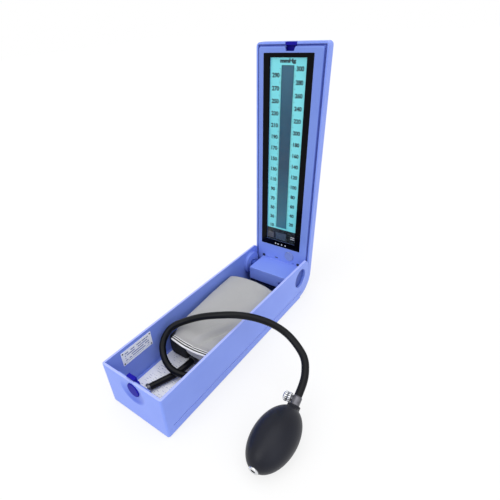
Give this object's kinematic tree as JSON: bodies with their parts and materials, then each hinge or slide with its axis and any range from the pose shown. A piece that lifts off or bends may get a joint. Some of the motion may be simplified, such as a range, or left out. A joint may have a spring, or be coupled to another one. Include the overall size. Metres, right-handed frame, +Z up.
{
  "type": "mercury-free desk sphygmomanometer",
  "caption": "Blood pressure monitor in a long hinged blue case: column display in the upright lid, folded cuff in the tray, hose over the side to a black bulb.",
  "frame": {"origin": "on the surface that the feet stand on, under the middle of the closed case", "axes": "+X across the case to its right, +Y along the tray towards the hinge, +Z up"},
  "size_m": [0.2255, 0.347, 0.351],
  "materials": {
    "case_blue": "fine satin moulding",
    "bezel_blue": "satin",
    "navy_plastic": "satin",
    "window_clear": "smooth",
    "lcd_glass": "smooth",
    "white_plastic": "smooth",
    "board_green": "satin",
    "button_silver": "satin",
    "steel": "satin",
    "chrome": "polished",
    "battery_skin": "smooth",
    "rubber_black": "matt",
    "hose_rubber": "slight sheen",
    "bulb_rubber": "slight sheen",
    "valve_grey": "satin",
    "cuff_cloth": "woven",
    "paper_white": "matt",
    "plate_film": "satin"
  },
  "bodies": {
    "case": {"tray_body": "case_blue", "rubber_feet": "rubber_black", "latch_spring": "steel", "hinge_pin_left": "steel", "hinge_pin_right": "steel", "hinge_cap_left": "case_blue", "hinge_cap_right": "case_blue", "leaflet": "paper_white", "wall_plate": "plate_film", "cuff": "cuff_cloth", "cuff_bladder": "rubber_black", "gauge_hose": "hose_rubber", "hose_ferrule": "chrome", "hose_plug": "white_plastic", "bulb_hose": "hose_rubber", "bulb": "bulb_rubber", "release_valve": "valve_grey", "inlet_valve": "chrome", "inlet_flap": "rubber_black"},
    "lid": {"lid_cover": "case_blue", "lid_bezel": "bezel_blue", "lid_screws": "steel", "bezel_screws": "steel", "lid_catch": "navy_plastic", "display_window": "window_clear", "lcd_panel": "lcd_glass", "lcd_backlight": "white_plastic", "circuit_board": "board_green", "button_spring": "steel", "button_switch": "navy_plastic", "buzzer": "navy_plastic", "battery_box": "case_blue", "batteries": "battery_skin", "battery_contacts": "steel", "air_socket": "navy_plastic", "pressure_sensor": "navy_plastic", "hinge_bush_left": "navy_plastic", "hinge_bush_right": "navy_plastic"},
    "latch": {"latch_slider": "navy_plastic"},
    "button": {"power_button": "button_silver"},
    "door": {"battery_door": "case_blue"},
    "knob": {"release_knob": "chrome"}
  },
  "joints": [
    {"name": "lid_hinge", "type": "hinge", "parent": "case", "child": "lid", "pos_m": [0, 0.1345, 0.043], "axis": [1, 0, 0], "range_deg": [0, 80]},
    {"name": "latch_slide", "type": "slide", "parent": "case", "child": "latch", "axis": [0, 1, 0], "range_m": [0, 0.002], "stiffness_N_per_m": 900, "springref_m": -0.001, "deforming": ["latch_spring"]},
    {"name": "button_push", "type": "slide", "parent": "lid", "child": "button", "axis": [0, 1, 0], "range_m": [0, 0.0008], "stiffness_N_per_m": 800, "springref_m": -0.0008, "deforming": ["button_spring"]},
    {"name": "door_hinge", "type": "hinge", "parent": "lid", "child": "door", "pos_m": [0, 0.1533, 0.0471], "axis": [1, 0, 0], "range_deg": [-55, 0]},
    {"name": "knob_turn", "type": "hinge", "parent": "case", "child": "knob", "pos_m": [0.15145, -0.06851, 0.03528], "axis": [-0.9968, -0.0724, -0.0347], "range_deg": [-180, 0]}
  ]
}
